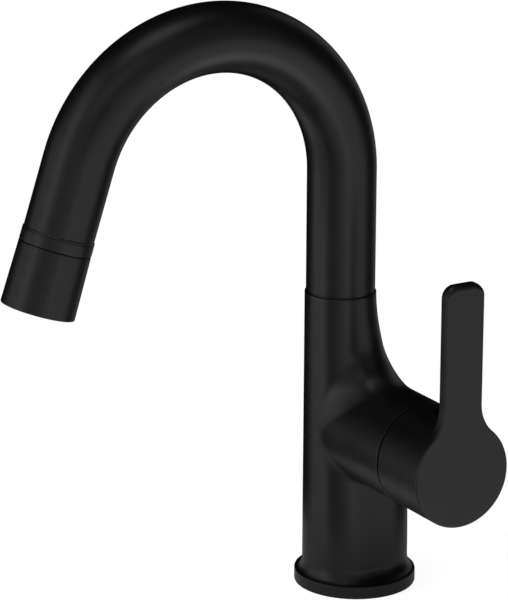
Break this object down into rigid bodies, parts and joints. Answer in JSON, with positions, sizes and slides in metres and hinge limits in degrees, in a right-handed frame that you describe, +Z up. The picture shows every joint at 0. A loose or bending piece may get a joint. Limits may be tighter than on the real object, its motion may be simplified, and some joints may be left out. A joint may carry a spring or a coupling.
{
  "type": "basin mixer tap",
  "caption": "Single-lever basin mixer tap in matt black with a swivelling gooseneck spout, a side lever on a round housing and a ceramic cartridge.",
  "frame": {"origin": "centre of the flange's underside, on the basin's surface", "axes": "+Z up, -Y the way the spout reaches over the basin, +X along the side housing towards the lever"},
  "size_m": [0.103, 0.1848, 0.2512],
  "materials": {
    "coated_brass": "matte black coating",
    "coated_zinc": "matte black coating",
    "brass": "machined",
    "steel": "bright",
    "rubber": "moulded",
    "plastic": "moulded",
    "ceramic": "lapped ceramic"
  },
  "bodies": {
    "mixer": {"mixer_body": "coated_brass", "base_gasket": "rubber", "swivel_nipple": "brass", "spout_o_rings": "rubber", "slide_ring": "plastic", "stop_pin": "steel", "spout_clip": "steel", "port_seals": "rubber", "cartridge_base": "plastic", "cartridge_housing": "plastic", "fixed_disc": "ceramic", "carrier_seal": "rubber", "retaining_nut": "brass", "housing_cap": "coated_zinc"},
    "spout": {"spout_tube": "coated_brass", "spout_foot": "brass", "outlet_ring": "coated_brass", "outlet_sleeve": "coated_brass", "aerator_seal": "rubber", "aerator_body": "plastic", "aerator_screen": "steel"},
    "carrier": {"stem_carrier": "plastic", "pivot_pin": "steel"},
    "lever": {"lever_handle": "coated_zinc", "lever_stem": "brass", "grub_screw": "steel", "screw_plug": "plastic"},
    "valve_disc": {"moving_disc": "ceramic", "disc_driver": "plastic"}
  },
  "joints": [
    {"name": "spout_swivel", "type": "hinge", "parent": "mixer", "child": "spout", "pos_m": [0, -0.0084, 0.12675], "axis": [0, 0, 1], "range_deg": [-60, 60]},
    {"name": "temperature_turn", "type": "hinge", "parent": "mixer", "child": "carrier", "pos_m": [0.04, 0, 0.0691], "axis": [1, 0, 0], "range_deg": [-50, 50]},
    {"name": "lever_tilt", "type": "hinge", "parent": "carrier", "child": "lever", "pos_m": [0.04, 0, 0.0691], "axis": [0, 1, 0], "range_deg": [0, 20]},
    {"name": "disc_slide", "type": "slide", "parent": "carrier", "child": "valve_disc", "axis": [0, 0, 1], "range_m": [0, 0.0048]}
  ],
  "couplings": [
    {"joint": "disc_slide", "follows": "lever_tilt", "m_per_rad": 0.01372}
  ]
}
